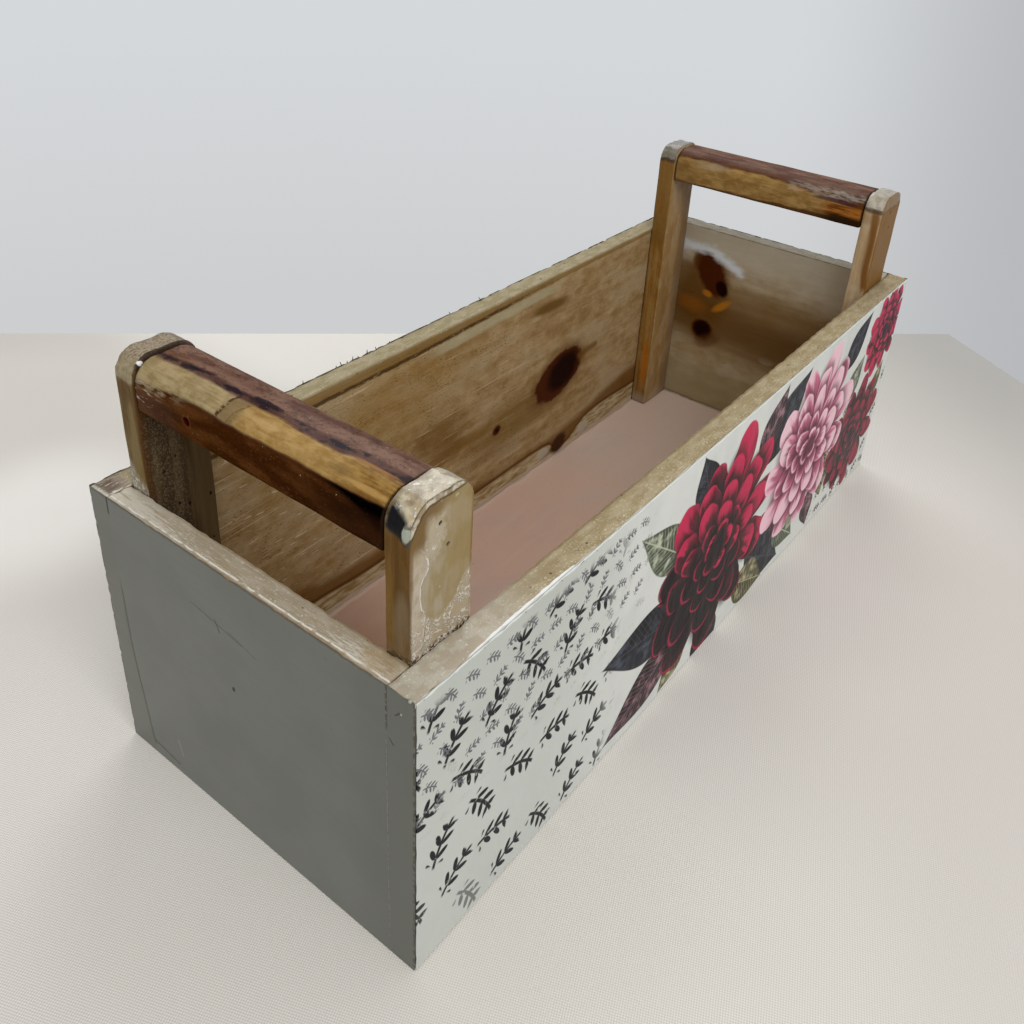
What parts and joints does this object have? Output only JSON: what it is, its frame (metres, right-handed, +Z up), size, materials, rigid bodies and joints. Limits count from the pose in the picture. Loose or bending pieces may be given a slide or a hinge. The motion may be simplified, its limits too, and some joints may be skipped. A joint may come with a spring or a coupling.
{
  "type": "wooden storage box with handles",
  "caption": "Open rectangular box of thin boards with a raised slat handle standing inside each end and printed paper glued on the front.",
  "frame": {"origin": "centre of the underside, at the middle of the box's overall length and width", "axes": "+X along the box from its left end to its right end, +Y from the papered front to the back, +Z up"},
  "size_m": [0.392, 0.1506, 0.1715],
  "materials": {
    "stained_pine": "brown-stained knotty pine, matt to satin, pale worn rims",
    "painted_end": "satin grey-green paint over the wood",
    "washed_end": "thin whitewash over stained pine",
    "dusty_floor": "smooth dusty pink-brown paint on plywood",
    "glazed_slat": "olive-brown stained slat, glossy cream glaze over the tops",
    "dark_stained_grip": "dark purple-brown to golden stain, semi-gloss varnish",
    "printed_paper": "varnished printed paper, pale with a crimson and dark leaf design",
    "steel_pin": "dull steel panel pin"
  },
  "bodies": {
    "root": {"front_board": "stained_pine", "back_board": "stained_pine", "left_end_board": "painted_end", "right_end_board": "washed_end", "bottom_panel": "dusty_floor", "left_grip_bar": "dark_stained_grip", "right_grip_bar": "dark_stained_grip", "front_paper": "printed_paper", "front_left_post": "glazed_slat", "front_right_post": "glazed_slat", "back_left_post": "glazed_slat", "back_right_post": "glazed_slat", "front_left_corner_pin_1": "steel_pin", "front_left_corner_pin_2": "steel_pin", "front_left_corner_pin_3": "steel_pin", "front_left_post_pin_1": "steel_pin", "front_left_post_pin_2": "steel_pin", "front_left_grip_pin_1": "steel_pin", "front_left_grip_pin_2": "steel_pin", "front_right_corner_pin_1": "steel_pin", "front_right_corner_pin_2": "steel_pin", "front_right_corner_pin_3": "steel_pin", "front_right_post_pin_1": "steel_pin", "front_right_post_pin_2": "steel_pin", "front_right_grip_pin_1": "steel_pin", "front_right_grip_pin_2": "steel_pin", "back_left_corner_pin_1": "steel_pin", "back_left_corner_pin_2": "steel_pin", "back_left_corner_pin_3": "steel_pin", "back_left_post_pin_1": "steel_pin", "back_left_post_pin_2": "steel_pin", "back_left_grip_pin_1": "steel_pin", "back_left_grip_pin_2": "steel_pin", "back_right_corner_pin_1": "steel_pin", "back_right_corner_pin_2": "steel_pin", "back_right_corner_pin_3": "steel_pin", "back_right_post_pin_1": "steel_pin", "back_right_post_pin_2": "steel_pin", "back_right_grip_pin_1": "steel_pin", "back_right_grip_pin_2": "steel_pin", "left_bottom_pin_1": "steel_pin", "left_bottom_pin_2": "steel_pin", "left_bottom_pin_3": "steel_pin", "right_bottom_pin_1": "steel_pin", "right_bottom_pin_2": "steel_pin", "right_bottom_pin_3": "steel_pin"}
  },
  "joints": []
}
